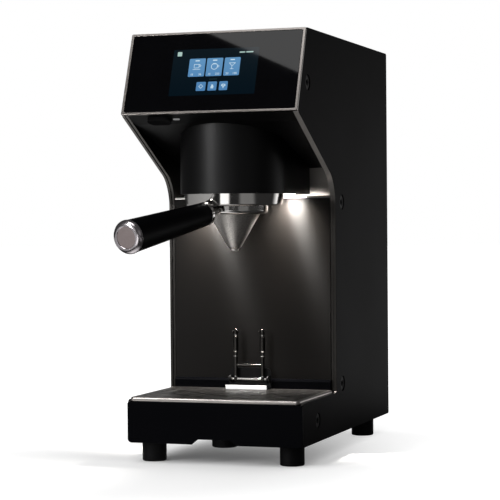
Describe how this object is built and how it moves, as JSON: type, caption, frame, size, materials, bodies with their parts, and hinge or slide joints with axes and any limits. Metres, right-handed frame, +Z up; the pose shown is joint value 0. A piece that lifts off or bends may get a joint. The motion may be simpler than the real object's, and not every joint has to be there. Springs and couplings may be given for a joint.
{
  "type": "commercial coffee brewer",
  "caption": "Slim black commercial coffee brewer with a leaning touch display, a bayonet brew group with portafilter and conical filter, and a lift-out drip tray.",
  "frame": {"origin": "middle of the outer box in plan, on the counter under the feet", "axes": "+Z up, -Y towards the front with the display and the handle, +X towards the side panel at the right of a person facing the display"},
  "size_m": [0.195, 0.4928, 0.457],
  "materials": {
    "gloss_black": "black paint, low gloss with soft reflections",
    "satin_black": "satin black paint",
    "champagne_trim": "polished, warm silver",
    "black_glass": "black glass over a lit screen, mirror gloss",
    "circuit_board": "green lacquered board",
    "black_plastic": "fine matte",
    "lamp_white": "frosted white lens, lit",
    "chrome_metal": "mirror polish",
    "brushed_metal": "fine brushed",
    "grip_black": "soft-touch matte black",
    "white_silicone": "matte white",
    "seal_rubber": "matte",
    "galvanised_steel": "dull zinc",
    "brass_fittings": "machined"
  },
  "bodies": {
    "housing": {"left_side_panel": "gloss_black", "right_side_panel": "gloss_black", "base_front_panel": "gloss_black", "left_frame_cheek": "satin_black", "right_frame_cheek": "satin_black", "top_cover": "satin_black", "rear_panel": "satin_black", "backsplash_sill": "satin_black", "hood_rear_wall": "satin_black", "hood_underside": "satin_black", "group_shroud": "satin_black", "display_bezel": "champagne_trim", "display_glass": "black_glass", "display_module": "circuit_board", "control_board": "circuit_board", "drain_cup": "black_plastic", "flow_meter": "black_plastic", "mains_inlet": "black_plastic", "front_left_foot": "black_plastic", "rear_left_foot": "black_plastic", "front_right_foot": "black_plastic", "rear_right_foot": "black_plastic", "left_side_bolt_1": "black_plastic", "left_side_bolt_2": "black_plastic", "left_side_bolt_3": "black_plastic", "left_side_bolt_4": "black_plastic", "right_side_bolt_1": "black_plastic", "right_side_bolt_2": "black_plastic", "right_side_bolt_3": "black_plastic", "right_side_bolt_4": "black_plastic", "left_lamp": "lamp_white", "right_lamp": "lamp_white", "indicator_lens": "lamp_white", "group_body": "chrome_metal", "group_bell": "chrome_metal", "backsplash": "brushed_metal", "shower_screen": "brushed_metal", "shower_screw": "brushed_metal", "group_gasket": "seal_rubber", "base_pan": "galvanised_steel", "service_shelf": "galvanised_steel", "boiler": "galvanised_steel", "power_supply": "galvanised_steel", "pump": "galvanised_steel", "group_pipe": "brass_fittings", "feed_pipe": "brass_fittings", "solenoid_valve": "brass_fittings", "water_inlet": "brass_fittings"},
    "portafilter": {"portafilter_body": "chrome_metal", "filter_cone": "brushed_metal", "handle_ferrule": "chrome_metal", "handle_grip": "grip_black", "handle_end_cap": "chrome_metal"},
    "tray": {"drip_tray": "brushed_metal"},
    "grille": {"drip_grille": "brushed_metal", "cup_rest_bracket": "satin_black", "cup_rest_lip": "white_silicone", "cup_rest_hinge_pin": "chrome_metal"},
    "cup_rest": {"cup_rest_frame": "satin_black"},
    "button": {"power_button": "black_plastic"}
  },
  "joints": [
    {"name": "portafilter_lock", "type": "hinge", "parent": "housing", "child": "portafilter", "pos_m": [0, -0.05221, 0.27], "axis": [0, 0, 1], "range_deg": [-50, 8]},
    {"name": "drip_tray_lift", "type": "slide", "parent": "housing", "child": "tray", "axis": [0, 0, 1], "range_m": [0, 0.06]},
    {"name": "grille_lift", "type": "slide", "parent": "tray", "child": "grille", "axis": [0, 0, 1], "range_m": [0, 0.025]},
    {"name": "cup_rest_fold", "type": "hinge", "parent": "grille", "child": "cup_rest", "pos_m": [0, -0.00671, 0.081], "axis": [1, 0, 0], "range_deg": [0, 85]},
    {"name": "power_button_press", "type": "slide", "parent": "housing", "child": "button", "axis": [0, 0.3809, 0.9246], "range_m": [0, 0.002], "stiffness_N_per_m": 400}
  ]
}
